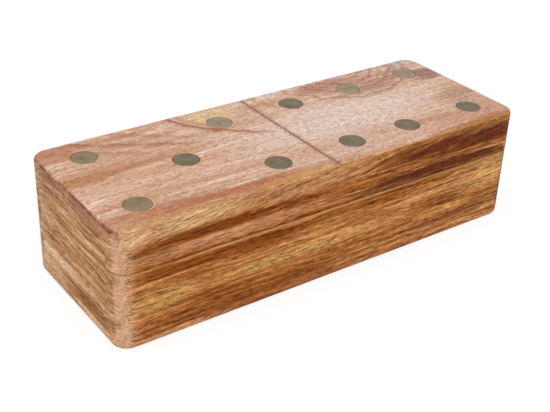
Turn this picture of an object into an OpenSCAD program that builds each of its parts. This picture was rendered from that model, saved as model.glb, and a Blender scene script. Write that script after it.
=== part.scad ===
// Domino storage box: a hinged hardwood box whose lid is inlaid like a domino tile.
// Origin at the middle of the underside, X along the box, Y towards the hinges, Z up.

/* [Box] */
// Length over the end boards
box_l = 190; // [150:1:230]
// Width from front to back, without the hinge barrels
box_w = 69; // [56:0.5:90]
// Height of the closed box
box_h = 50; // [40:0.5:64]
// Thickness of the wall boards and of the lid's rails
wall_t = 8; // [7:0.25:10]
// Thickness of the bottom board
bottom_t = 5.5; // [4:0.25:8]
// Radius of the four upright corners
corner_r = 6.5; // [3:0.25:6.75]
// Radius of the edge round the underside
foot_r = 2.5; // [0.5:0.25:3.75]

/* [Lid] */
// Height of the whole lid
lid_h = 18; // [15:0.5:24]
// Thickness of the top board
top_t = 8.5; // [6:0.25:9]
// Radius of the edge round the top face
brow_r = 1.75; // [0.5:0.25:3]
// Radius of the eased edges on both sides of the seam
seam_r = 0.5; // [0.2:0.1:1]
// Width of the sawn groove that divides the two halves of the tile
groove_w = 1.1; // [0.6:0.1:2]
// Depth of the groove
groove_depth = 0.9; // [0.5:0.1:1.5]
// Distance of the groove from the middle of the lid, positive to the right
groove_shift = -0.6; // [-3:0.1:3]

/* [Pips] */
// Diameter of each brass pip
pip_d = 10.4; // [6:0.1:13]
// Depth to which a pip is let into the top board
pip_depth = 2.5; // [1.5:0.25:4]
// Distance from either end of the box to its outer pips
pip_from_end = 15.9; // [12:0.1:20]
// Distance from the back face to the back row of pips
pip_from_back = 14.7; // [12:0.1:20]
// Distance from the front face to the front row of pips
pip_from_front = 13.4; // [12:0.1:20]
// Distance from the groove to the inner pips of the five
five_from_groove = 18.9; // [12:0.1:24]
// Distance from the groove to the inner pips of the six
six_from_groove = 16.6; // [12:0.1:24]

/* [Hinges] */
// Length of each butt hinge
hinge_l = 22; // [18:1:30]
// Distance from an end of the box to the middle of its hinge
hinge_from_end = 38; // [26:1:60]
// Thickness of a hinge leaf
leaf_t = 0.9; // [0.6:0.1:1.2]
// Distance that a leaf reaches into the wall
leaf_reach = 6; // [5:0.25:6.5]
// Gap between the two leaves of a closed hinge
leaf_gap = 0.4; // [0.2:0.1:0.6]
// Number of knuckles, shared between the two leaves
knuckles = 5; // [3:2:7]
// Diameter of the barrel
barrel_d = 3.4; // [3:0.1:5]
// Diameter of the hinge pin
pin_d = 1.5; // [1:0.1:2]

/* [Screws] */
// Length of a hinge screw with its head
screw_l = 5.5; // [4:0.25:5.75]
// Diameter of the shank
screw_d = 1.6; // [1.2:0.1:2]
// Diameter of the countersunk head
screw_head_d = 3.2; // [2.4:0.1:3.6]
// Distance between the two screws of a leaf
screw_spacing = 13; // [10:0.5:16]

/* [Hidden] */
$fn = 64;
wood = [0.72, 0.50, 0.36];
inner_wood = [0.76, 0.56, 0.42];
brass = [0.50, 0.45, 0.34];
hinge_brass = [0.72, 0.58, 0.30];

seam_z = box_h - lid_h;
board_h = seam_z - bottom_t;
rail_h = lid_h - top_t;
end_l = box_w - 2 * wall_t;
groove_x = groove_shift;

// How far a cutting shape runs past the face that it cuts
over = 1;
// Glue line round a pip
pip_fit = 0.05;
// Running clearance of the pin in the knuckles, on the radius
pin_fit = 0.05;
// Gap between neighbouring knuckles
knuckle_gap = 0.2;
// Gap between the barrel and whatever it passes
barrel_gap = 0.3;
// Clearance of a screw in its holes, on the radius
screw_fit = 0.05;
// Gap round a leaf in its mortise
mortise_fit = 0.1;

axis_y = box_w / 2 + barrel_gap + barrel_d / 2;
leaf_floor = leaf_gap / 2 + leaf_t;
leaf_back_y = box_w / 2 - leaf_reach;
screw_y = box_w / 2 - leaf_reach / 2;
knuckle_pitch = hinge_l / knuckles;
head_depth = (screw_head_d - screw_d) / 2;

left_x = -box_l / 2 + pip_from_end;
right_x = box_l / 2 - pip_from_end;
back_y = box_w / 2 - pip_from_back;
front_y = -box_w / 2 + pip_from_front;
five_x = groove_x - five_from_groove;
six_x = groove_x + six_from_groove;

// The middle pips were drilled by eye, so each sits a little off the middle of its row.
five_drift = [1.6, -0.5];
six_back_drift = -0.9;
six_front_drift = -2.8;

FIVE = [
    [left_x, back_y],
    [left_x, front_y],
    [(left_x + five_x) / 2 + five_drift.x, (back_y + front_y) / 2 + five_drift.y],
    [five_x, back_y],
    [five_x, front_y],
];
SIX = [
    [six_x, back_y],
    [six_x, front_y],
    [(six_x + right_x) / 2 + six_back_drift, back_y],
    [(six_x + right_x) / 2 + six_front_drift, front_y],
    [right_x, back_y],
    [right_x, front_y],
];
PIPS = concat(FIVE, SIX);

SIDES = [-1, 1];
function side_name(side) = side < 0 ? "left" : "right";
function pip_name(i) = i < len(FIVE) ? str("five_pip_", i + 1) : str("six_pip_", i + 1 - len(FIVE));

// Waste outside a round of radius r at the origin, where the board lies to the left and above
module edge_waste(r) {
    difference() {
        translate([-r, -over]) square(r + over);
        translate([-r, r]) circle(r);
    }
}

// Half of a board's section: x out to its face, y up from its lower side
module half_section(reach, h, low_r, high_r) {
    difference() {
        square([reach, h]);
        if (low_r > 0) translate([reach, 0]) edge_waste(low_r);
        if (high_r > 0) translate([reach, h]) mirror([0, 1]) edge_waste(high_r);
    }
}

// The outline of the box, h high, with round upright corners and rounds along its low and high edges
module outline(h, low_r = 0, high_r = 0) {
    straight_l = box_l - 2 * corner_r;
    straight_w = box_w - 2 * corner_r;
    rotate([90, 0, 90]) translate([0, 0, -straight_l / 2]) linear_extrude(straight_l) {
        half_section(box_w / 2, h, low_r, high_r);
        mirror([1, 0]) half_section(box_w / 2, h, low_r, high_r);
    }
    for (side = SIDES) {
        translate([side * straight_l / 2, 0, 0]) rotate([90, 0, side < 0 ? 180 : 0])
            translate([0, 0, -straight_w / 2]) linear_extrude(straight_w)
                half_section(corner_r, h, low_r, high_r);
    }
    for (turn = [0 : 3]) {
        x_side = turn == 0 || turn == 3 ? 1 : -1;
        y_side = turn < 2 ? 1 : -1;
        translate([x_side * straight_l / 2, y_side * straight_w / 2, 0]) rotate(turn * 90)
            rotate_extrude(angle = 90) half_section(corner_r, h, low_r, high_r);
    }
}

// Space of a long board or rail, side -1 for the front and 1 for the back
module long_space(side, h) {
    translate([-box_l / 2 - over, side < 0 ? -box_w / 2 - over : box_w / 2 - wall_t, 0])
        cube([box_l + 2 * over, wall_t + over, h]);
}

// Space of an end board or rail between the two long ones, side -1 for the left and 1 for the right
module end_space(side, h) {
    translate([side < 0 ? -box_l / 2 - over : box_l / 2 - wall_t, -end_l / 2, 0])
        cube([wall_t + over, end_l, h]);
}

// Repeats a hinge's pieces at its place on the seam, z = 0 at the pin's axis height
module at_hinge(side) {
    translate([side * (box_l / 2 - hinge_from_end), 0, seam_z]) children();
}

// Mortise and pilot holes for one leaf, below the seam; mirrored for the lid
module leaf_seat() {
    translate([-hinge_l / 2 - mortise_fit, leaf_back_y - mortise_fit, -leaf_floor])
        cube([hinge_l + 2 * mortise_fit, leaf_reach + mortise_fit + over, leaf_floor + over]);
    for (side = SIDES)
        translate([side * screw_spacing / 2, screw_y, -leaf_gap / 2 - screw_l - barrel_gap])
            cylinder(h = screw_l + barrel_gap, d = screw_d + 2 * screw_fit);
}

module front_board() {
    color(wood) translate([0, 0, bottom_t]) intersection() {
        outline(board_h, high_r = seam_r);
        long_space(-1, board_h);
    }
}

module back_board() {
    color(wood) difference() {
        translate([0, 0, bottom_t]) intersection() {
            outline(board_h, high_r = seam_r);
            long_space(1, board_h);
        }
        for (side = SIDES) at_hinge(side) leaf_seat();
    }
}

module end_board(side) {
    color(wood) translate([0, 0, bottom_t]) intersection() {
        outline(board_h, high_r = seam_r);
        end_space(side, board_h);
    }
}

module bottom_board() {
    color(inner_wood) outline(bottom_t, low_r = foot_r);
}

// Board with the pockets for the pips and the groove between the tile's halves
module lid_top_board() {
    color(wood) difference() {
        translate([0, 0, box_h - top_t]) outline(top_t, high_r = brow_r);
        for (place = PIPS)
            translate([place.x, place.y, box_h - pip_depth])
                cylinder(h = pip_depth + over, d = pip_d + 2 * pip_fit);
        translate([groove_x - groove_w / 2, -box_w / 2 - over, box_h - groove_depth])
            cube([groove_w, box_w + 2 * over, groove_depth + over]);
    }
}

module lid_front_rail() {
    color(wood) translate([0, 0, seam_z]) intersection() {
        outline(rail_h, low_r = seam_r);
        long_space(-1, rail_h);
    }
}

module lid_back_rail() {
    color(wood) difference() {
        translate([0, 0, seam_z]) intersection() {
            outline(rail_h, low_r = seam_r);
            long_space(1, rail_h);
        }
        for (side = SIDES) at_hinge(side) mirror([0, 0, 1]) leaf_seat();
    }
}

module lid_end_rail(side) {
    color(wood) translate([0, 0, seam_z]) intersection() {
        outline(rail_h, low_r = seam_r);
        end_space(side, rail_h);
    }
}

// Brass disc, flush with the top face, with its rim broken
module pip(place) {
    rim = 0.2;
    color(brass) translate([place.x, place.y, box_h - pip_depth]) {
        cylinder(h = pip_depth - rim, d = pip_d);
        translate([0, 0, pip_depth - rim]) cylinder(h = rim, d1 = pip_d, d2 = pip_d - 2 * rim);
    }
}

// Leaf of a butt hinge below the seam, with every second knuckle from the one named first
module leaf(first) {
    plate_end = axis_y - barrel_d / 2 - barrel_gap / 2;
    difference() {
        union() {
            translate([-hinge_l / 2, leaf_back_y, -leaf_floor])
                cube([hinge_l, plate_end - leaf_back_y, leaf_t]);
            for (i = [first : 2 : knuckles - 1])
                translate([-hinge_l / 2 + i * knuckle_pitch + knuckle_gap / 2, 0, 0]) {
                    knuckle_l = knuckle_pitch - knuckle_gap;
                    translate([0, plate_end - leaf_t, -leaf_floor])
                        cube([knuckle_l, axis_y - plate_end + leaf_t, leaf_t]);
                    translate([0, axis_y, 0]) rotate([0, 90, 0]) cylinder(h = knuckle_l, d = barrel_d);
                }
        }
        translate([-hinge_l / 2 - over, axis_y, 0]) rotate([0, 90, 0])
            cylinder(h = hinge_l + 2 * over, d = pin_d + 2 * pin_fit);
        for (side = SIDES) translate([side * screw_spacing / 2, screw_y, -leaf_gap / 2]) {
            translate([0, 0, -head_depth])
                cylinder(h = head_depth, d1 = screw_d + 2 * screw_fit, d2 = screw_head_d + 2 * screw_fit);
            translate([0, 0, -leaf_t - over])
                cylinder(h = leaf_t + 2 * over, d = screw_d + 2 * screw_fit);
        }
    }
}

module hinge_box_leaf(side) {
    color(hinge_brass) at_hinge(side) leaf(0);
}

module hinge_lid_leaf(side) {
    color(hinge_brass) at_hinge(side) mirror([0, 0, 1]) leaf(1);
}

// Pin with a peened head past each end of the barrel
module hinge_pin(side) {
    head_l = 0.3;
    head_d = pin_d + 0.9;
    color(hinge_brass) at_hinge(side) translate([0, axis_y, 0]) rotate([0, 90, 0]) {
        translate([0, 0, -hinge_l / 2]) cylinder(h = hinge_l, d = pin_d);
        for (end = [0, 1]) mirror([0, 0, end]) translate([0, 0, hinge_l / 2]) {
            cylinder(h = head_l, d = head_d);
            translate([0, 0, head_l]) cylinder(h = head_l, d1 = head_d, d2 = pin_d);
        }
    }
}

// Slotted countersunk screw, head up, its top at the origin
module screw() {
    slot_w = 0.4;
    slot_depth = 0.35;
    tip_l = 1.2;
    shank_l = screw_l - head_depth - tip_l;
    difference() {
        union() {
            translate([0, 0, -head_depth]) cylinder(h = head_depth, d1 = screw_d, d2 = screw_head_d);
            translate([0, 0, -head_depth - shank_l]) cylinder(h = shank_l, d = screw_d);
            translate([0, 0, -screw_l]) cylinder(h = tip_l, d1 = slot_w, d2 = screw_d);
        }
        translate([-screw_head_d, -slot_w / 2, -slot_depth])
            cube([2 * screw_head_d, slot_w, slot_depth + over]);
    }
}

// The four screws of the leaves below the seam
module leaf_screws() {
    for (side = SIDES) at_hinge(side)
        for (end = SIDES)
            translate([end * screw_spacing / 2, screw_y, -leaf_gap / 2 - screw_fit / 2]) screw();
}

module box_leaf_screws() {
    color(hinge_brass) leaf_screws();
}

module lid_leaf_screws() {
    color(hinge_brass) translate([0, 0, 2 * seam_z]) mirror([0, 0, 1]) leaf_screws();
}

bottom_board();
front_board();
back_board();
lid_top_board();
lid_front_rail();
lid_back_rail();
for (i = [0 : len(PIPS) - 1]) {
    pip(PIPS[i]);
}
for (side = SIDES) {
    end_board(side);
    lid_end_rail(side);
    hinge_box_leaf(side);
    hinge_lid_leaf(side);
    hinge_pin(side);
}
box_leaf_screws();
lid_leaf_screws();
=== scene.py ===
"""Looks of the domino storage box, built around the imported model."""
import math
from collections import namedtuple

import bpy
from mathutils import Matrix, Vector


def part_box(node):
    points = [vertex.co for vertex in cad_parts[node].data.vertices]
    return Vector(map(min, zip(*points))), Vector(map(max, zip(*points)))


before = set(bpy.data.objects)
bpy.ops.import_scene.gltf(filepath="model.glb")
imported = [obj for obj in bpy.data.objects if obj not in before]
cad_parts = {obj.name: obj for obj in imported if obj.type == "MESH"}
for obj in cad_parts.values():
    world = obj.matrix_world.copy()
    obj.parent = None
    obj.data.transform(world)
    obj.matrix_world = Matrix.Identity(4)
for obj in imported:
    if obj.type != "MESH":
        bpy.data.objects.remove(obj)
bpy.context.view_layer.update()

MM = 0.001
WHITE = (1.0, 1.0, 1.0, 1.0)
# The range of surface colours, in linear light
DARKEST = 0.002
LIGHTEST = 0.9

# Places that materials need, in millimetres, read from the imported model
box_low, box_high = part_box("lid_top_board")
TOP_Z = box_high.z / MM
HALF_L = box_high.x / MM
HALF_W = box_high.y / MM
SEAM_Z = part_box("front_board")[1].z / MM
BOTTOM_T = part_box("bottom_board")[1].z / MM
WALL = (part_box("front_board")[1].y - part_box("front_board")[0].y) / MM
TOP_T = (box_high.z - box_low.z) / MM
PIP_NODES = [f"five_pip_{i + 1}" for i in range(5)] + [f"six_pip_{i + 1}" for i in range(6)]
PIP_D = (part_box("six_pip_1")[1].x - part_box("six_pip_1")[0].x) / MM
GROOVE_X = -0.6
GROOVE_W = 1.1


def pip_centre(node):
    low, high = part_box(node)
    return (low + high) / 2 / MM


def seen(red, green, blue, light=1.0, sheen=0.0):
    """Surface colour, in linear light, that shows as this 0-255 colour under that light and sheen."""
    def linear(c):
        c = c / 255
        return c / 12.92 if c <= 0.04045 else ((c + 0.055) / 1.055) ** 2.4
    rgb = [(linear(c) - sheen) / light for c in (red, green, blue)]
    return (*(min(max(c, DARKEST), LIGHTEST) for c in rgb), 1.0)


# Camera

IMAGE_WIDTH = 550
SENSOR_WIDTH = 36.0
FOCAL_PX = 1026
CLIP_START = 0.01
CAMERA_AT = Vector((-223.0, -294.0, 227.0))
CAMERA_AZIMUTH = 36.6
CAMERA_DOWN = 29.9
CAMERA_ROLL = 2.47


def add_camera():
    data = bpy.data.cameras.new("camera")
    data.sensor_width = SENSOR_WIDTH
    data.lens = SENSOR_WIDTH * FOCAL_PX / IMAGE_WIDTH
    data.clip_start = CLIP_START
    camera = bpy.data.objects.new("camera", data)
    bpy.context.scene.collection.objects.link(camera)
    turn = (
        Matrix.Rotation(math.radians(-CAMERA_AZIMUTH), 4, "Z")
        @ Matrix.Rotation(math.radians(90 - CAMERA_DOWN), 4, "X")
        @ Matrix.Rotation(math.radians(CAMERA_ROLL), 4, "Z")
    )
    camera.matrix_world = Matrix.Translation(CAMERA_AT * MM) @ turn
    bpy.context.scene.camera = camera


# Node trees

# A noise texture: features per millimetre along each axis, detail and roughness
Noise = namedtuple("Noise", "stretch detail roughness", defaults=(3.0, 0.55))


class Graph:
    """The node tree of a material or world, built with calls that take sockets or plain numbers."""

    def __init__(self, owner):
        self.owner = owner
        self.owner.use_nodes = True
        self.tree = self.owner.node_tree
        self.tree.nodes.clear()

    def node(self, kind, inputs=None, **settings):
        made = self.tree.nodes.new(kind)
        for key, value in settings.items():
            setattr(made, key, value)
        for key, value in (inputs or {}).items():
            if isinstance(value, bpy.types.NodeSocket):
                self.tree.links.new(value, made.inputs[key])
            else:
                made.inputs[key].default_value = value
        return made

    def math(self, operation, a, b=0.0, c=0.0):
        return self.node("ShaderNodeMath", {0: a, 1: b, 2: c}, operation=operation).outputs[0]

    def vector(self, operation, a, b=(0, 0, 0), c=(0, 0, 0)):
        inputs = {0: a, 1: b, 2: c}
        return self.node("ShaderNodeVectorMath", inputs, operation=operation).outputs[0]

    def length(self, a):
        return self.node("ShaderNodeVectorMath", {0: a}, operation="LENGTH").outputs["Value"]

    def split(self, a):
        return self.node("ShaderNodeSeparateXYZ", {0: a}).outputs[:3]

    def join(self, x, y, z):
        return self.node("ShaderNodeCombineXYZ", {0: x, 1: y, 2: z}).outputs[0]

    def noise(self, at, kind):
        """Noise from 0 to 1."""
        inputs = {
            "Vector": self.vector("MULTIPLY", at, kind.stretch),
            "Scale": 1.0,
            "Detail": kind.detail,
            "Roughness": kind.roughness,
        }
        return self.node("ShaderNodeTexNoise", inputs).outputs[0]

    def ease(self, value, start, end, low=0.0, high=1.0):
        inputs = {0: value, 1: start, 2: end, 3: low, 4: high}
        return self.node("ShaderNodeMapRange", inputs, interpolation_type="SMOOTHSTEP").outputs[0]

    def band(self, value, middle, edge, core, high=1.0):
        """Full within core of the middle, and nothing beyond edge of it."""
        off = self.math("ABSOLUTE", self.math("SUBTRACT", value, middle))
        return self.ease(off, edge, core, 0.0, high)

    def swing(self, value, gain, base=0.0):
        """The base, plus the gain times what a value from 0 to 1 is above its middle."""
        return self.math("MULTIPLY_ADD", self.math("SUBTRACT", value, 0.5), gain, base)

    def blend(self, share, a, b, mode="MIX"):
        inputs = {0: share, 6: a, 7: b}
        return self.node("ShaderNodeMix", inputs, data_type="RGBA", blend_type=mode).outputs[2]

    def between(self, share, a, b):
        return self.node("ShaderNodeMix", {0: share, 2: a, 3: b}, data_type="FLOAT").outputs[0]

    def ramp(self, share, stops):
        made = self.node("ShaderNodeValToRGB", {0: share})
        points = made.color_ramp.elements
        while len(points) < len(stops):
            points.new(1.0)
        for point, (position, colour) in zip(points, stops):
            point.position = position
            point.color = colour
        return made.outputs[0]

    def bump(self, height, strength, distance):
        inputs = {"Height": height, "Strength": strength, "Distance": distance}
        return self.node("ShaderNodeBump", inputs).outputs[0]

    def finish(self, shader, output="ShaderNodeOutputMaterial"):
        self.node(output, {0: shader})
        return self.owner


def new_graph(name):
    return Graph(bpy.data.materials.new(name))


def mm_place(g):
    coordinates = g.node("ShaderNodeTexCoord").outputs["Object"]
    return g.vector("MULTIPLY", coordinates, (1 / MM, 1 / MM, 1 / MM))


# Colours of the wood

# How bright the studio makes each face, and the sheen it adds, so that colours are written as
# they show
TOP_LIGHT = 1.055
FRONT_LIGHT = 0.8
END_LIGHT = 0.775
INSIDE_LIGHT = 0.8
TOP_SHEEN = 0.024
FRONT_SHEEN = 0.009
END_SHEEN = 0.035

# A patch of another colour: its middle and half-size on its face, in millimetres, and its strength
Patch = namedtuple("Patch", "colour middle half strength")
# A growth line of the top face: x = start + slant * d + bend * d * d, at d from the back edge, as
# far as its reach, and its strength
Ring = namedtuple("Ring", "start slant bend reach strength")


def top_colour(red, green, blue):
    return seen(red, green, blue, TOP_LIGHT, TOP_SHEEN)


def front_colour(red, green, blue):
    return seen(red, green, blue, FRONT_LIGHT, FRONT_SHEEN)


def end_colour(red, green, blue):
    return seen(red, green, blue, END_LIGHT, END_SHEEN)


def inside_colour(red, green, blue):
    return seen(red, green, blue, INSIDE_LIGHT)


# Dark, middle and light tone of the grain on each kind of face
TOP_TONES = (
    top_colour(190, 144, 118),
    top_colour(214, 176, 152),
    top_colour(233, 205, 186),
)
FRONT_TONES = (
    front_colour(131, 69, 20),
    front_colour(166, 105, 57),
    front_colour(196, 141, 89),
)
END_TONES = (
    end_colour(146, 102, 64),
    end_colour(181, 137, 98),
    end_colour(210, 170, 132),
)
END_GRAIN_TONES = (
    end_colour(146, 102, 72),
    end_colour(181, 137, 101),
    end_colour(210, 170, 136),
)
RAW_TONES = (
    inside_colour(190, 146, 110),
    inside_colour(214, 176, 140),
    inside_colour(228, 196, 164),
)
PORE_COLOUR = top_colour(142, 88, 66)
RING_COLOUR = top_colour(152, 96, 70)
GROOVE_COLOUR = top_colour(236, 196, 180)
# Worn pale wood with a painted highlight, for the near upright corner
WORN_AND_HIGHLIGHT_COLOUR = front_colour(206, 162, 134)
# Painted shade for the far upright corner
PAINTED_SHADE_COLOUR = front_colour(84, 44, 24)
LIP_COLOUR = end_colour(96, 58, 42)
# Painted highlight on the edge below the seam
SEAM_HIGHLIGHT_COLOUR = front_colour(206, 156, 104)

# Patches and growth lines of each face, after the photo, and plain ones on the two hidden faces
TOP_PATCHES = [
    Patch(top_colour(202, 154, 122), (-72, 2), (34, 40), 0.6),
    Patch(top_colour(184, 132, 98), (-88, 3.5), (24, 4.2), 0.8),
    Patch(top_colour(190, 134, 108), (-88, 26), (13, 8), 0.7),
    Patch(top_colour(226, 190, 166), (-72, -8), (44, 3), 0.6),
    Patch(top_colour(182, 120, 88), (-74, -28.6), (34, 3.2), 0.8),
    Patch(top_colour(184, 122, 88), (-36, -31.2), (38, 3.6), 0.9),
    Patch(top_colour(194, 146, 100), (-80, -33), (22, 1.7), 0.75),
    Patch(top_colour(206, 158, 108), (-16, -33.4), (22, 1.6), 0.75),
    Patch(top_colour(224, 192, 150), (-20, 27), (13, 7), 0.75),
    Patch(top_colour(196, 148, 114), (-57, 21.5), (20, 8), 0.5),
    Patch(top_colour(230, 208, 194), (28, -1.5), (50, 15), 0.8),
    Patch(top_colour(186, 136, 126), (38, 30), (16, 6), 0.8),
    Patch(top_colour(190, 150, 136), (56, 18.5), (22, 9), 0.75),
    Patch(top_colour(148, 114, 112), (88, 16), (9, 7), 0.8),
    Patch(top_colour(206, 186, 182), (86, 31), (14, 4), 0.7),
    Patch(top_colour(206, 164, 146), (90, -20), (12, 9), 0.6),
    Patch(top_colour(184, 144, 122), (86, -8), (14, 7), 0.75),
    Patch(top_colour(196, 150, 124), (72, -26), (36, 6), 0.7),
    Patch(top_colour(222, 188, 170), (20, -27), (34, 5), 0.6),
    Patch(top_colour(206, 158, 118), (22, -34), (30, 1.4), 0.7),
    Patch(top_colour(178, 122, 82), (72, -33.4), (30, 2.0), 0.85),
]
TOP_RINGS = [
    Ring(-37.5, 0.3, 0.02, 36.0, 1.0),
    Ring(-33.0, 0.25, 0.02, 24.0, 0.5),
    Ring(-84.0, 1.6, 0.01, 30.0, 0.7),
    Ring(-64.0, 1.2, 0.012, 24.0, 0.45),
    Ring(-101.0, 1.9, 0.0, 26.0, 0.4),
    Ring(4.0, 0.1, 0.02, 20.0, 0.45),
]
FRONT_PATCHES = [
    Patch(front_colour(212, 170, 124), (-66, 46.5), (28, 4), 0.8),
    Patch(front_colour(196, 144, 102), (-14, 46.5), (32, 4.5), 0.65),
    # The near top corner, worn pale with a painted highlight
    Patch(front_colour(218, 178, 144), (-89, 46), (7, 5), 0.7),
    Patch(front_colour(100, 47, 2), (68, 43.8), (50, 4.2), 0.94),
    Patch(front_colour(160, 104, 60), (70, 48.6), (30, 1.6), 0.7),
    Patch(front_colour(118, 59, 12), (-54, 40.6), (34, 2.3), 0.9),
    Patch(front_colour(196, 140, 102), (-50, 36), (44, 1.8), 0.7),
    Patch(front_colour(94, 43, 0), (52, 34.8), (44, 3.4), 0.96),
    Patch(front_colour(127, 65, 16), (-50, 28), (38, 2.8), 0.85),
    Patch(front_colour(170, 112, 64), (-4, 25), (30, 2.2), 0.5),
    Patch(front_colour(206, 156, 98), (82, 24), (20, 6), 0.85),
    Patch(front_colour(206, 156, 98), (-14, 17.8), (44, 2.8), 0.8),
    Patch(front_colour(208, 162, 98), (-80, 18.5), (17, 4.2), 0.6),
    # These two: the near upright corner, worn pale with a painted highlight
    Patch(front_colour(204, 158, 118), (-92, 22), (4, 30), 0.6),
    Patch(front_colour(206, 166, 134), (-93, 6), (6, 6), 0.7),
    Patch(front_colour(134, 76, 38), (-34, 7.2), (58, 3), 0.85),
    Patch(front_colour(130, 76, 46), (62, 8), (36, 3.6), 0.65),
    # Painted shade on the far corner's rounding, low down
    Patch(front_colour(66, 32, 8), (92.2, 8.5), (2.2, 8), 0.9),
    Patch(front_colour(138, 84, 52), (10, 1.5), (100, 2.4), 0.6),
    Patch(front_colour(204, 158, 118), (-74, 2), (24, 1.4), 0.6),
    Patch(front_colour(136, 88, 72), (-94, 47.4), (2.5, 1.8), 0.7),
]
LEFT_PATCHES = [
    Patch(end_colour(158, 114, 90), (-4, 47), (38, 3.6), 0.7),
    Patch(end_colour(190, 156, 124), (31, 26), (9, 24), 0.65),
    Patch(end_colour(204, 166, 130), (22, 7), (15, 7), 0.7),
    Patch(end_colour(218, 186, 154), (13, 14.5), (24, 2.4), 0.8),
    Patch(end_colour(142, 96, 66), (-12, 9), (16, 3.2), 0.85),
    # The near upright corner, worn pale with a painted highlight
    Patch(end_colour(200, 158, 128), (-31, 24), (3.5, 24), 0.4),
    Patch(end_colour(152, 106, 68), (-4, 32), (24, 1.6), 0.45),
    Patch(end_colour(126, 82, 68), (-33.5, 47.4), (3.5, 2), 0.8),
]
BACK_PATCHES = [
    Patch(front_colour(128, 76, 44), (40, 44), (50, 3), 0.7),
    Patch(front_colour(198, 150, 100), (-40, 22), (50, 4), 0.7),
    Patch(front_colour(120, 70, 40), (10, 12), (60, 2.4), 0.7),
]
RIGHT_PATCHES = [
    Patch(end_colour(140, 96, 64), (6, 36), (26, 3), 0.7),
    Patch(end_colour(206, 166, 126), (-8, 17), (24, 3.4), 0.7),
]


# Patterns of the wood

# The way its grain runs, what sets its pattern apart, and the outer faces that it shares in.
# A rail has the seed of the board below it, so that the pattern runs on across the seam.
Board = namedtuple("Board", "along seed faces")
BOARDS = {
    "lid_top_board": Board("x", 1.0, ("front", "left")),
    "lid_front_rail": Board("x", 2.0, ("front",)),
    "front_board": Board("x", 2.0, ("front",)),
    "bottom_board": Board("x", 3.0, ("front", "left")),
    "lid_back_rail": Board("x", 4.0, ("back",)),
    "back_board": Board("x", 4.0, ("back",)),
    "lid_left_rail": Board("y", 5.0, ("left",)),
    "left_end_board": Board("y", 5.0, ("left",)),
    "lid_right_rail": Board("y", 6.0, ("right",)),
    "right_end_board": Board("y", 6.0, ("right",)),
}
SEED_STEP = (37.0, 11.0, 23.0)

# The marks of a board that all its colours follow
Marks = namedtuple("Marks", "streak lines fibre pores")

# Marks along the grain, the first axis, and how far they wander across it
STREAKS = Noise((0.008, 0.22, 0.22), 4.0, 0.62)
LINES = Noise((0.03, 0.85, 0.85), 3.0, 0.7)
FIBRES = Noise((0.28, 1.9, 1.9), 2.0, 0.65)
PORES = Noise((0.6, 1.6, 1.6), 1.0)
PORE_EDGE = (0.5, 0.64)
WANDER = Noise((0.013, 0.04, 0.04))
WANDER_MM = 8.0
# Marks of end grain, where growth rings lie level, and where it takes over round a corner
END_STREAKS = Noise((0.3, 0.04, 0.24))
END_LINES = Noise((0.3, 0.05, 0.9), 3.0, 0.7)
END_FIBRES = Noise((1.0, 0.35, 1.9), 2.0, 0.65)
END_EDGE = (-0.3, 0.3)
# The marks on the upright edges of the lid's top board climb to the right
EDGE_CLIMB = -0.16
EDGE_LEVEL = 0.4

# The share of the streaks in a tone, and the tones at which the three colours of a face stand
STREAK_SHARE = 0.65
TONE_STOPS = (0.36, 0.5, 0.64)
# Where a patch ends and where it is full, as shares of its half-size, how much the tone frays it,
# and how far from its middle it can matter to a board
PATCH_EDGE = (1.35, 0.45)
PATCH_FRAY = 3.0
PATCH_REACH = 1.4

# How much darker or lighter the marks make the sides, and the share of it on end grain
LINE_GAIN = 2.4
FIBRE_GAIN = 2.9
PORE_GAIN = -0.12
END_CALM = 0.85
# Dark places turn redder: the powers of red and blue, and the darkest level
DEEP_RED = 0.85
DEEP_BLUE = 1.2
DEEPEST = 0.25


def board_marks(g, moved):
    wander = g.swing(g.noise(moved, WANDER), WANDER_MM)
    grain = g.vector("ADD", moved, g.join(0.0, wander, wander))
    return Marks(
        g.noise(grain, STREAKS),
        g.noise(grain, LINES),
        g.noise(grain, FIBRES),
        g.ease(g.noise(grain, PORES), *PORE_EDGE),
    )


def with_end_grain(g, moved, marks, end_share):
    return Marks(
        g.between(end_share, marks.streak, g.noise(moved, END_STREAKS)),
        g.between(end_share, marks.lines, g.noise(moved, END_LINES)),
        g.between(end_share, marks.fibre, g.noise(moved, END_FIBRES)),
        marks.pores,
    )


def tone_of(g, marks):
    streak = g.math("MULTIPLY", marks.streak, STREAK_SHARE)
    return g.math("ADD", streak, g.math("MULTIPLY", marks.lines, 1 - STREAK_SHARE))


def three_tones(g, tone, tones):
    return g.ramp(tone, list(zip(TONE_STOPS, tones)))


def add_patches(g, colour, patches, place, axes, tone):
    """Lays the patches of one face over a colour, with edges that fray along the grain."""
    ragged = g.swing(tone, PATCH_FRAY)
    for patch in patches:
        scale = [0.0, 0.0, 0.0]
        offset = [0.0, 0.0, 0.0]
        for axis, middle, half in zip(axes, patch.middle, patch.half):
            scale[axis] = 1 / half
            offset[axis] = -middle / half
        off = g.vector("MULTIPLY_ADD", place, scale, offset)
        reach = g.math("ADD", g.length(off), ragged)
        share = g.ease(reach, *PATCH_EDGE, 0.0, patch.strength)
        colour = g.blend(share, colour, patch.colour)
    return colour


def patches_between(patches, low, high):
    """The patches of a side that reach a board between these heights."""
    reaching = []
    for patch in patches:
        middle, reach = patch.middle[1], PATCH_REACH * patch.half[1]
        if middle - reach < high and middle + reach > low:
            reaching.append(patch)
    return reaching


def darken(g, colour, mask, level):
    """Multiplies the colour down to level where the mask is 1."""
    shade = g.math("MULTIPLY_ADD", mask, level - 1.0, 1.0)
    return g.blend(1.0, colour, g.join(shade, shade, shade), "MULTIPLY")


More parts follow.
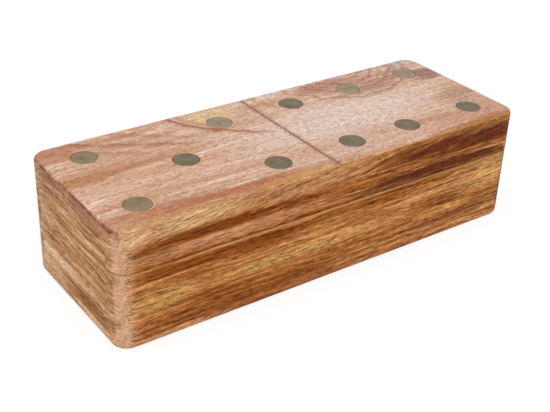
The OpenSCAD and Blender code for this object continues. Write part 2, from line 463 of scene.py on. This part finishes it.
def deepen(g, colour, level):
    """Multiplies the colour by a level, with dark places turning redder."""
    level = g.math("MAXIMUM", level, DEEPEST)
    shade = g.join(g.math("POWER", level, DEEP_RED), level, g.math("POWER", level, DEEP_BLUE))
    return g.blend(1.0, colour, shade, "MULTIPLY")


# The top face

TOP_LINE_GAIN = 0.5
TOP_FIBRE_GAIN = 0.5
TOP_MOTTLE = Noise((0.3, 0.6, 0.6), 2.0)
TOP_MOTTLE_GAIN = 0.85
TOP_LEVEL = 1.06
TOP_PORES = 0.42
# The top face ends between these depths below its own height, on the rounded edge
TOP_FADE = (1.2, 0.2)

# Growth lines: crisp on the side to the right, fading on the other, and broken by a wobble
RING_SHARE = 0.78
RING_CRISP = (1.2, 0.3)
RING_FADE = (-2.8, 0.1)
RING_END = 8.0
WOBBLE = Noise((0.12, 0.2, 0.2))
WOBBLE_MM = 8.0
# Oval growth lines behind the six side: their middle, their reach, their width for a length of 1
# and their spacing, with a darker one round them all
SWIRL_AT = (54.0, 37.5, 0.0)
SWIRL_REACH = 28.0
SWIRL_SHAPE = (0.8, 1.0, 0.0)
SWIRL_LINES = Noise((0.42, 1.0, 1.0), 1.0)
SWIRL_LINE_EDGE = (0.4, 0.62)
SWIRL_END = 4.0
SWIRL_STRENGTH = 0.7
SWIRL_OUTER_INSET = 1.0
SWIRL_OUTER_STRENGTH = 0.6
# Bands along a line: where they end and where they are full, in millimetres from it
SWIRL_OUTER = (1.4, 0.4)
# Painted shade in the gap round each pip
PIP_SHADE_BAND = (0.3, 0.1)
PIP_SHADE_LEVEL = 0.8
GROOVE_BAND = (2.4, 0.5)
GROOVE_LEVEL = 0.8
GROOVE_SLACK = 0.03
GROOVE_BELOW = 0.15


def ring_lines(g, x, y, wobble):
    depth = g.math("SUBTRACT", HALF_W, y)
    moved = g.math("ADD", x, wobble)
    total = None
    for ring in TOP_RINGS:
        slope = g.math("MULTIPLY_ADD", depth, ring.bend, ring.slant)
        off = g.math("SUBTRACT", moved, g.math("MULTIPLY_ADD", depth, slope, ring.start))
        off = g.math("DIVIDE", off, g.math("ADD", 1.0, slope))
        line = g.math("MULTIPLY", g.ease(off, *RING_CRISP), g.ease(off, *RING_FADE))
        share = g.ease(depth, ring.reach, ring.reach - RING_END, 0.0, ring.strength)
        line = g.math("MULTIPLY", line, share)
        total = line if total is None else g.math("MAXIMUM", total, line)
    return total


def swirl_lines(g, place, wobble):
    """Round growth lines about one point beyond the back edge, closed off by a darker one."""
    off = g.vector("MULTIPLY", g.vector("SUBTRACT", place, SWIRL_AT), SWIRL_SHAPE)
    radius = g.math("ADD", g.length(off), wobble)
    lines = g.ease(g.noise(g.join(radius, 0.0, 0.0), SWIRL_LINES), *SWIRL_LINE_EDGE)
    share = g.ease(radius, SWIRL_REACH, SWIRL_REACH - SWIRL_END, 0.0, SWIRL_STRENGTH)
    outer = g.band(radius, SWIRL_REACH - SWIRL_OUTER_INSET, *SWIRL_OUTER, SWIRL_OUTER_STRENGTH)
    return g.math("MAXIMUM", g.math("MULTIPLY", lines, share), outer)


def pip_gap_shade_rings(g, x, y):
    """A thin dark ring of painted shade round every pip, where the gap round its pocket lies."""
    flat = g.join(x, y, 0.0)
    nearest = None
    for node in PIP_NODES:
        centre = pip_centre(node)
        off = g.length(g.vector("SUBTRACT", flat, (centre.x, centre.y, 0.0)))
        nearest = off if nearest is None else g.math("MINIMUM", nearest, off)
    return g.band(nearest, PIP_D / 2, *PIP_SHADE_BAND)


def top_face(g, place, marks):
    x, y, z = g.split(place)
    tone = tone_of(g, marks)
    top = add_patches(g, three_tones(g, tone, TOP_TONES), TOP_PATCHES, place, (0, 1), tone)
    level = g.swing(marks.lines, TOP_LINE_GAIN, TOP_LEVEL)
    level = g.swing(marks.fibre, TOP_FIBRE_GAIN, level)
    level = g.swing(g.noise(place, TOP_MOTTLE), TOP_MOTTLE_GAIN, level)
    top = deepen(g, top, level)
    top = g.blend(g.math("MULTIPLY", marks.pores, TOP_PORES), top, PORE_COLOUR)

    wobble = g.swing(g.noise(place, WOBBLE), WOBBLE_MM)
    rings = g.math("MAXIMUM", ring_lines(g, x, y, wobble), swirl_lines(g, place, wobble))
    top = g.blend(g.math("MULTIPLY", rings, RING_SHARE), top, RING_COLOUR)

    # Painted shade round the pips
    top = darken(g, top, pip_gap_shade_rings(g, x, y), PIP_SHADE_LEVEL)
    top = darken(g, top, g.band(x, GROOVE_X, *GROOVE_BAND), GROOVE_LEVEL)
    off_groove = g.math("ABSOLUTE", g.math("SUBTRACT", x, GROOVE_X))
    between_walls = g.math("LESS_THAN", off_groove, GROOVE_W / 2 + GROOVE_SLACK)
    below_top = g.math("LESS_THAN", z, TOP_Z - GROOVE_BELOW)
    return g.blend(g.math("MULTIPLY", between_walls, below_top), top, GROOVE_COLOUR)


# Wear, painted shade and painted highlights, and the inside

# The near upright corner, worn pale and with a painted highlight: how squarely a face has to look
# that way, and how unevenly it is rubbed and highlit
WORN_HIGHLIGHT_EDGE = (0.89, 0.97)
WORN_HIGHLIGHT_NOISE = Noise((0.6, 0.6, 0.25))
WORN_HIGHLIGHT_NOISE_EDGE = (0.35, 0.6)
WORN_HIGHLIGHT_SHARE = (0.4, 0.9)
WORN_HIGHLIGHT_CALM = -0.6
# The far upright corner gets painted shade, up to where the right end begins
PAINTED_SHADE_EDGE = (0.86, 0.97)
PAINTED_SHADE_SHARE = 0.65
PAINTED_SHADE_END = (0.95, 0.75)
# The dark lip along the top edge of the left end
LIP_BELOW = 1.2
LIP_BAND = (1.0, 0.2)
LIP_STRENGTH = 0.75
LIP_LENGTH = (3.0, 1.5)
LIP_BREAKS = Noise((0.3, 0.3, 0.3), 2.0)
LIP_BREAK_EDGE = (0.35, 0.6)
LIP_BREAK_LEAST = 0.25
# The outer edge of the seam gets painted shade in its gap, with a painted highlight below it, both
# plainer to the right; the painted highlight fades again where the ends begin
SEAM_UPRIGHT = (0.97, 0.8)
SEAM_PLAIN_X = -0.4
SEAM_LEAST = 0.3
SEAM_SHADE_ABOVE = 0.35
SEAM_SHADE_BAND = (0.75, 0.25)
SEAM_SHADE_LEVEL = 0.7
SEAM_HIGHLIGHT_BELOW = 0.6
SEAM_HIGHLIGHT_BAND = (0.7, 0.2)
SEAM_HIGHLIGHT_STRENGTH = 0.45
SEAM_HIGHLIGHT_FADE = (1.0, 8.0)
SEAM_HIGHLIGHT_LEAST = 0.25
# Sawn faces inside the box are pale and dull; they are found to within a thin skin
SKIN = 0.05
RAW_FIBRE_GAIN = 0.7
RAW_PORE_GAIN = -0.06

WOOD_ROUGHNESS = (0.62, 0.48)
ROUGHNESS_EDGE = (0.3, 0.7)
# A faint warm sheen, so that dark bands don't turn grey
WOOD_SPECULAR = 0.12
WOOD_SHEEN = (1.0, 0.7, 0.25, 1.0)
WOOD_BUMP = (0.3, 0.0002)


# Mask of the near upright corner: worn pale, with a painted highlight
def worn_and_highlight_corner(g, place, turn_x, turn_y):
    near = g.math("MULTIPLY", g.math("ADD", turn_x, turn_y), -math.sqrt(0.5))
    worn_and_highlight = g.ease(g.noise(place, WORN_HIGHLIGHT_NOISE), *WORN_HIGHLIGHT_NOISE_EDGE, *WORN_HIGHLIGHT_SHARE)
    return g.math("MULTIPLY", g.ease(near, *WORN_HIGHLIGHT_EDGE), worn_and_highlight)


# Mask of painted shade on the far upright corner
def painted_shade_corner(g, turn_x, turn_y):
    far = g.math("MULTIPLY", g.math("SUBTRACT", turn_x, turn_y), math.sqrt(0.5))
    far = g.ease(far, *PAINTED_SHADE_EDGE, 0.0, PAINTED_SHADE_SHARE)
    return g.math("MULTIPLY", far, g.ease(turn_x, *PAINTED_SHADE_END))


def lip_line(g, place, x, z):
    lip = g.band(z, TOP_Z - LIP_BELOW, *LIP_BAND, LIP_STRENGTH)
    lip = g.math("MULTIPLY", lip, g.ease(g.math("ADD", x, HALF_L), *LIP_LENGTH))
    breaks = g.ease(g.noise(place, LIP_BREAKS), *LIP_BREAK_EDGE, LIP_BREAK_LEAST, 1.0)
    return g.math("MULTIPLY", lip, breaks)


def add_seam_shade_and_highlight(g, colour, x, z, level_face):
    plainer = g.ease(x, -HALF_L, SEAM_PLAIN_X * HALF_L, SEAM_LEAST, 1.0)
    upright = g.math("MULTIPLY", g.ease(level_face, *SEAM_UPRIGHT), plainer)
    # Painted shade in the seam's gap
    seam_shade = g.band(z, SEAM_Z + SEAM_SHADE_ABOVE, *SEAM_SHADE_BAND)
    colour = darken(g, colour, g.math("MULTIPLY", seam_shade, upright), SEAM_SHADE_LEVEL)
    # Painted highlight on the edge below the seam
    seam_highlight = g.band(z, SEAM_Z - SEAM_HIGHLIGHT_BELOW, *SEAM_HIGHLIGHT_BAND, SEAM_HIGHLIGHT_STRENGTH)
    fade_from, fade_to = (HALF_L - inset for inset in SEAM_HIGHLIGHT_FADE)
    fade = g.ease(g.math("ABSOLUTE", x), fade_from, fade_to, SEAM_HIGHLIGHT_LEAST, 1.0)
    seam_highlight = g.math("MULTIPLY", g.math("MULTIPLY", seam_highlight, fade), upright)
    return g.blend(seam_highlight, colour, SEAM_HIGHLIGHT_COLOUR)


def inside_faces(g, name, x, y, z):
    """1 on the faces that look into the box or the lid."""
    past_x = g.math("SUBTRACT", g.math("ABSOLUTE", x), HALF_L - WALL)
    past_y = g.math("SUBTRACT", g.math("ABSOLUTE", y), HALF_W - WALL)
    inside = g.math("LESS_THAN", g.math("MAXIMUM", past_x, past_y), SKIN)
    if name == "lid_top_board":
        inside = g.math("MULTIPLY", inside, g.math("LESS_THAN", z, TOP_Z - TOP_T + SKIN))
    elif name == "bottom_board":
        inside = g.math("MULTIPLY", inside, g.math("GREATER_THAN", z, BOTTOM_T - SKIN))
    return inside


def wood(name, board):
    g = new_graph("wood_" + name)
    place = mm_place(g)
    x, y, z = g.split(place)
    turn_x, turn_y, turn_z = g.split(g.node("ShaderNodeTexCoord").outputs["Normal"])
    level_face = g.math("ABSOLUTE", turn_z)
    is_top = name == "lid_top_board"
    is_long = board.along == "x"

    along = place if is_long else g.join(y, x, z)
    if is_top:
        upright = g.math("LESS_THAN", level_face, EDGE_LEVEL)
        climb = g.math("MULTIPLY", g.math("MULTIPLY", x, EDGE_CLIMB), upright)
        along = g.join(x, y, g.math("ADD", z, climb))
    moved = g.vector("ADD", along, [board.seed * step for step in SEED_STEP])
    top_marks = marks = board_marks(g, moved)
    if is_long:
        sideways = g.math("MAXIMUM", g.math("ABSOLUTE", turn_y), level_face)
        end_share = g.ease(g.math("SUBTRACT", g.math("ABSOLUTE", turn_x), sideways), *END_EDGE)
        marks = with_end_grain(g, moved, marks, end_share)
    tone = tone_of(g, marks)

    # Colours of the sides and of the ends
    low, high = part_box(name)
    colour = three_tones(g, tone, END_GRAIN_TONES if is_long else END_TONES)
    if "left" in board.faces or "right" in board.faces:
        patches = LEFT_PATCHES if "left" in board.faces else RIGHT_PATCHES
        patches = patches_between(patches, low.z / MM, high.z / MM)
        colour = add_patches(g, colour, patches, place, (1, 2), tone)
    if is_long:
        patches = BACK_PATCHES if "back" in board.faces else FRONT_PATCHES
        patches = patches_between(patches, low.z / MM, high.z / MM)
        sides = add_patches(g, three_tones(g, tone, FRONT_TONES), patches, place, (0, 2), tone)
        colour = g.blend(end_share, sides, colour)

    # The near upright corner is worn pale with a painted highlight, with fainter marks, and the far
    # one gets painted shade
    strength = g.between(end_share, 1.0, END_CALM) if is_long else END_CALM
    if "front" in board.faces:
        worn_and_highlight = worn_and_highlight_corner(g, place, turn_x, turn_y)
        colour = g.blend(worn_and_highlight, colour, WORN_AND_HIGHLIGHT_COLOUR)
        # Painted shade on the far upright corner
        colour = g.blend(painted_shade_corner(g, turn_x, turn_y), colour, PAINTED_SHADE_COLOUR)
        strength = g.math("MULTIPLY", g.math("MULTIPLY_ADD", worn_and_highlight, WORN_HIGHLIGHT_CALM, 1.0), strength)

    level = g.swing(marks.lines, LINE_GAIN)
    level = g.swing(marks.fibre, FIBRE_GAIN, level)
    level = g.math("MULTIPLY_ADD", marks.pores, PORE_GAIN, level)
    colour = deepen(g, colour, g.math("MULTIPLY_ADD", level, strength, 1.0))

    if is_top:
        fade_from, fade_to = (TOP_Z - depth for depth in TOP_FADE)
        colour = g.blend(g.ease(z, fade_from, fade_to), colour, top_face(g, place, top_marks))
        colour = g.blend(lip_line(g, place, x, z), colour, LIP_COLOUR)
    colour = add_seam_shade_and_highlight(g, colour, x, z, level_face)

    level = g.swing(marks.fibre, RAW_FIBRE_GAIN, 1.0)
    level = g.math("MULTIPLY_ADD", marks.pores, RAW_PORE_GAIN, level)
    raw = deepen(g, three_tones(g, tone, RAW_TONES), level)
    colour = g.blend(inside_faces(g, name, x, y, z), colour, raw)

    height = g.math("MULTIPLY", g.math("SUBTRACT", marks.fibre, marks.pores), 0.5)
    inputs = {
        "Base Color": colour,
        "Roughness": g.ease(marks.fibre, *ROUGHNESS_EDGE, *WOOD_ROUGHNESS),
        "Specular IOR Level": WOOD_SPECULAR,
        "Specular Tint": WOOD_SHEEN,
        "Normal": g.bump(height, *WOOD_BUMP),
    }
    return g.finish(g.node("ShaderNodeBsdfPrincipled", inputs).outputs[0])


# Brass

BRASS_CLOUDS = Noise((0.22, 0.22, 0.22))
CLOUD_STOPS = (0.25, 0.5, 0.75)
BRASS_SCRATCHES = Noise((0.25, 4.0, 4.0), 2.0)
BRASS_BUMP = (0.2, 0.0001)
SMOOTHER = 0.06
ROUGHER = 0.08

PALE_PIP = (seen(130, 115, 93), seen(150, 135, 111), seen(163, 147, 123))
WARM_PIP = (seen(118, 102, 76), seen(138, 120, 92), seen(152, 135, 106))
DARK_PIP = (seen(98, 88, 66), seen(118, 106, 82), seen(130, 118, 93))
PIP_TONES = {
    "five_pip_1": WARM_PIP,
    "five_pip_2": WARM_PIP,
    "five_pip_4": PALE_PIP,
    "six_pip_3": PALE_PIP,
    "six_pip_5": PALE_PIP,
}
PIP_ROUGHNESS = 0.5
PIP_METALLIC = 0.9
PIP_SEED_STEP = 17.0
HINGE_TONES = (seen(140, 108, 58), seen(190, 154, 86), seen(214, 184, 118))
HINGE_ROUGHNESS = 0.34
HINGE_SEED = 3.0
SCREW_TONES = (seen(120, 92, 52), seen(166, 134, 78), seen(190, 160, 104))
SCREW_ROUGHNESS = 0.3
SCREW_SEED = 9.0


def brass(name, tones, roughness, metallic, seed):
    g = new_graph(name)
    place = g.vector("ADD", mm_place(g), (seed, seed, 0.0))
    scratch = g.noise(place, BRASS_SCRATCHES)
    rough = (roughness - SMOOTHER, roughness + ROUGHER)
    inputs = {
        "Base Color": g.ramp(g.noise(place, BRASS_CLOUDS), list(zip(CLOUD_STOPS, tones))),
        "Metallic": metallic,
        "Roughness": g.ease(scratch, *ROUGHNESS_EDGE, *rough),
        "Normal": g.bump(scratch, *BRASS_BUMP),
    }
    return g.finish(g.node("ShaderNodeBsdfPrincipled", inputs).outputs[0])


def paint(node, material):
    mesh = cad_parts[node].data
    mesh.materials.clear()
    mesh.materials.append(material)


for name, board in BOARDS.items():
    paint(name, wood(name, board))

for count, name in enumerate(PIP_NODES):
    tones = PIP_TONES.get(name, DARK_PIP)
    seed = PIP_SEED_STEP * count
    paint(name, brass("brass_" + name, tones, PIP_ROUGHNESS, PIP_METALLIC, seed))

hinge_material = brass("brass_hinge", HINGE_TONES, HINGE_ROUGHNESS, 1.0, HINGE_SEED)
screw_material = brass("brass_screws", SCREW_TONES, SCREW_ROUGHNESS, 1.0, SCREW_SEED)
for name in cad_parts:
    if "screws" in name:
        paint(name, screw_material)
    elif "hinge" in name:
        paint(name, hinge_material)


# Studio

FLOOR_HALF = 1.5
FLOOR_NEAR = 0.2
FLOOR_COLOUR = (0.86, 0.86, 0.86, 1.0)
# What a viewer sees of the floor: its glow near the box and far away, and the share of that glow
FLOOR_GLOW = (1.06, 1.25)
FLOOR_GLOW_SHARE = 0.8
WORLD_LIGHT = 0.55
KEY_POWER = 9.5
KEY_AT = Vector((-0.25, -0.25, 1.25))
KEY_TARGET = Vector((0, 0, 0.03))
KEY_SIZE = 0.9


def watched(g):
    """1 or more for rays that a viewer sees, straight or in a reflection."""
    path = g.node("ShaderNodeLightPath").outputs
    return g.math("ADD", path["Is Camera Ray"], path["Is Glossy Ray"])


def add_floor():
    corners = [(-1, -1), (1, -1), (1, 1), (-1, 1)]
    mesh = bpy.data.meshes.new("floor")
    mesh.from_pydata([(x * FLOOR_HALF, y * FLOOR_HALF, 0) for x, y in corners], [], [(0, 1, 2, 3)])
    floor = bpy.data.objects.new("floor", mesh)
    bpy.context.scene.collection.objects.link(floor)
    g = new_graph("floor_white")
    diffuse = g.node("ShaderNodeBsdfDiffuse", {"Color": FLOOR_COLOUR}).outputs[0]
    away = g.length(g.node("ShaderNodeTexCoord").outputs["Object"])
    strength = g.ease(away, FLOOR_NEAR, FLOOR_HALF, *FLOOR_GLOW)
    glow = g.node("ShaderNodeEmission", {"Color": WHITE, "Strength": strength}).outputs[0]
    share = g.math("MULTIPLY", g.math("MINIMUM", watched(g), 1.0), FLOOR_GLOW_SHARE)
    mixed = g.node("ShaderNodeMixShader", {0: share, 1: diffuse, 2: glow}).outputs[0]
    mesh.materials.append(g.finish(mixed))


def add_world():
    g = Graph(bpy.data.worlds.new("studio"))
    level = g.node("ShaderNodeMapRange", {0: watched(g), 3: WORLD_LIGHT, 4: 1.0}).outputs[0]
    back = g.node("ShaderNodeBackground", {"Color": WHITE, "Strength": level}).outputs[0]
    bpy.context.scene.world = g.finish(back, "ShaderNodeOutputWorld")


def add_key_light():
    data = bpy.data.lights.new("key", "AREA")
    data.size = KEY_SIZE
    data.energy = KEY_POWER
    light = bpy.data.objects.new("key", data)
    bpy.context.scene.collection.objects.link(light)
    turn = (KEY_AT - KEY_TARGET).to_track_quat("Z", "Y").to_matrix().to_4x4()
    light.matrix_world = Matrix.Translation(KEY_AT) @ turn


add_camera()
add_floor()
add_world()
add_key_light()
bpy.context.scene.view_settings.view_transform = "Standard"
